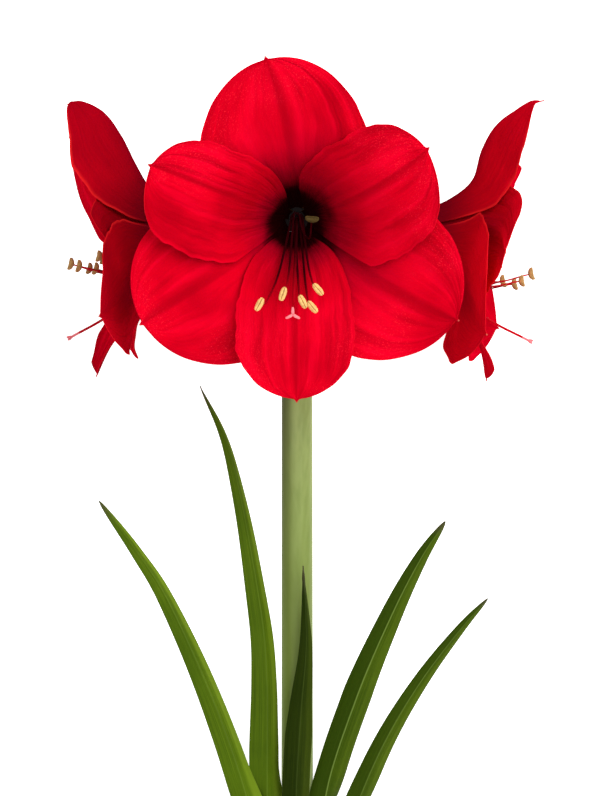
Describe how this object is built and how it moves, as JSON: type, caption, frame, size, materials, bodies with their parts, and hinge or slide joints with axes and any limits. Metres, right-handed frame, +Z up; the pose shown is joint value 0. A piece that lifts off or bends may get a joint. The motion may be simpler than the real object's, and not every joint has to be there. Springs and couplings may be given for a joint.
{
  "type": "cut red amaryllis flower stem with leaves",
  "caption": "Cut amaryllis with an umbel of open red trumpet blooms on a thick round scape and narrow keeled strap leaves at its foot, lying on its back",
  "frame": {"origin": "middle of the lowest side of the whole part's box, on the surface that it lies on", "axes": "+X to the right as the front bloom is looked at, +Y along the scape from its cut end to the blooms, +Z up, the way the front bloom mostly faces"},
  "size_m": [0.2804, 0.4584, 0.2421],
  "materials": {
    "tepal_red": "satin crimson tepal with fine lengthwise veins and a sparkling papillate surface, near black in the throat",
    "filament_red": "smooth deep red filament",
    "pistil_pink": "smooth red style fading to a pale pink stigma",
    "anther_cream": "powdery cream yellow pollen",
    "stalk_green": "satin green stalk flushed red towards the ovary",
    "scape_green": "satin pale green with a waxy bloom and faint lengthwise streaks",
    "leaf_green": "satin deep green with fine parallel veins and a paler keel line",
    "bract_tan": "dry papery tan with lengthwise veins"
  },
  "bodies": {
    "root": {"front_anther_1": "anther_cream", "front_anther_2": "anther_cream", "front_anther_3": "anther_cream", "front_anther_4": "anther_cream", "front_anther_5": "anther_cream", "front_anther_6": "anther_cream", "front_filaments": "filament_red", "front_pistil": "pistil_pink", "front_stalk_with_ovary": "stalk_green", "front_tepal_bottom": "tepal_red", "front_tepal_lower_left": "tepal_red", "front_tepal_lower_right": "tepal_red", "front_tepal_top": "tepal_red", "front_tepal_upper_left": "tepal_red", "front_tepal_upper_right": "tepal_red", "leaf_far_left": "leaf_green", "leaf_far_right": "leaf_green", "leaf_front": "leaf_green", "leaf_near_left": "leaf_green", "leaf_near_right": "leaf_green", "left_anther_1": "anther_cream", "left_anther_2": "anther_cream", "left_anther_3": "anther_cream", "left_anther_4": "anther_cream", "left_anther_5": "anther_cream", "left_anther_6": "anther_cream", "left_filaments": "filament_red", "left_pistil": "pistil_pink", "left_stalk_with_ovary": "stalk_green", "left_tepal_bottom": "tepal_red", "left_tepal_lower_left": "tepal_red", "left_tepal_lower_right": "tepal_red", "left_tepal_top": "tepal_red", "left_tepal_upper_left": "tepal_red", "left_tepal_upper_right": "tepal_red", "right_anther_1": "anther_cream", "right_anther_2": "anther_cream", "right_anther_3": "anther_cream", "right_anther_4": "anther_cream", "right_anther_5": "anther_cream", "right_anther_6": "anther_cream", "right_filaments": "filament_red", "right_pistil": "pistil_pink", "right_stalk_with_ovary": "stalk_green", "right_tepal_bottom": "tepal_red", "right_tepal_lower_left": "tepal_red", "right_tepal_lower_right": "tepal_red", "right_tepal_top": "tepal_red", "right_tepal_upper_left": "tepal_red", "right_tepal_upper_right": "tepal_red", "scape": "scape_green", "spathe_bract_left": "bract_tan", "spathe_bract_right": "bract_tan"}
  },
  "joints": []
}
